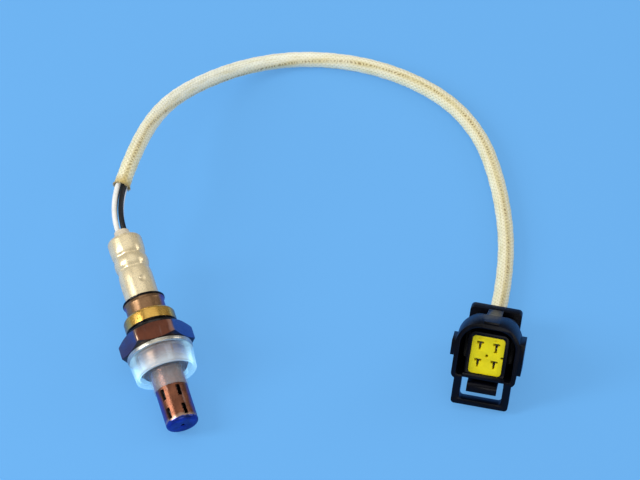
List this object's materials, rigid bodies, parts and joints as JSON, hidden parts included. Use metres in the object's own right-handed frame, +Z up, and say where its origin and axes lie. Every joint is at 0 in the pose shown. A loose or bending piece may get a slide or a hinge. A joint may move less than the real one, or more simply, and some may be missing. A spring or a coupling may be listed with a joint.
{
  "type": "oxygen sensor",
  "caption": "Heated exhaust oxygen sensor with hex shell, louvred probe, plastic thread protector and a sleeved wire lead ending in a locking connector.",
  "frame": {"origin": "on the surface that the sensor lies on, under the middle of the sensor from its probe tip to the end of its wire grommet", "axes": "+Z up, -Y towards the probe tip with the sensor's axis in the Y-Z plane, +X towards the connector"},
  "size_m": [0.1531, 0.18, 0.0339],
  "materials": {
    "shell_steel": "dark heat-tinted plating on turned steel",
    "gasket_steel": "bright folded stainless sheet",
    "ring_steel": "gold passivated zinc plate",
    "lower_sleeve_steel": "satin brown tinted stainless",
    "upper_sleeve_steel": "satin warm nickel",
    "probe_steel": "heat-tinted copper brown with a blue tip",
    "inner_steel": "plain drawn stainless",
    "contact_steel": "nickel-plated spring strip",
    "zirconia": "matt white with porous electrode coat",
    "alumina": "fine matt white",
    "talc": "pressed grey-green powder",
    "steatite": "unglazed cream",
    "protector_plastic": "milky translucent polyethylene",
    "grommet_rubber": "matt beige fluorocarbon rubber",
    "housing_plastic": "black moulded nylon, semi-matt",
    "lock_plastic": "bright yellow moulded",
    "seal_rubber": "soft red-brown silicone",
    "terminal_brass": "tin-plated",
    "woven_sleeve": "coated woven glass fibre",
    "wire_black": "smooth",
    "wire_white": "smooth",
    "wire_grey": "smooth"
  },
  "bodies": {
    "root": {"metal_shell": "shell_steel", "gasket": "gasket_steel", "crimp_ring": "ring_steel", "lower_sleeve": "lower_sleeve_steel", "upper_sleeve": "upper_sleeve_steel", "wire_grommet": "grommet_rubber", "outer_shroud": "probe_steel", "inner_shroud": "inner_steel", "sensing_element": "zirconia", "heater_rod": "alumina", "talc_seal": "talc", "ceramic_bush": "steatite", "terminal_insulator": "steatite", "signal_contact": "contact_steel", "heater_contact_1": "contact_steel", "ground_contact": "contact_steel", "heater_contact_2": "contact_steel", "thread_protector": "protector_plastic", "connector_housing": "housing_plastic", "terminal_lock": "lock_plastic", "seal_retainer": "housing_plastic", "terminal_1": "terminal_brass", "wire_seal_1": "seal_rubber", "terminal_2": "terminal_brass", "wire_seal_2": "seal_rubber", "terminal_3": "terminal_brass", "wire_seal_3": "seal_rubber", "terminal_4": "terminal_brass", "wire_seal_4": "seal_rubber", "harness_sleeve": "woven_sleeve", "signal_wire": "wire_black", "heater_wire_1": "wire_white", "ground_wire": "wire_grey", "heater_wire_2": "wire_white"}
  },
  "joints": []
}
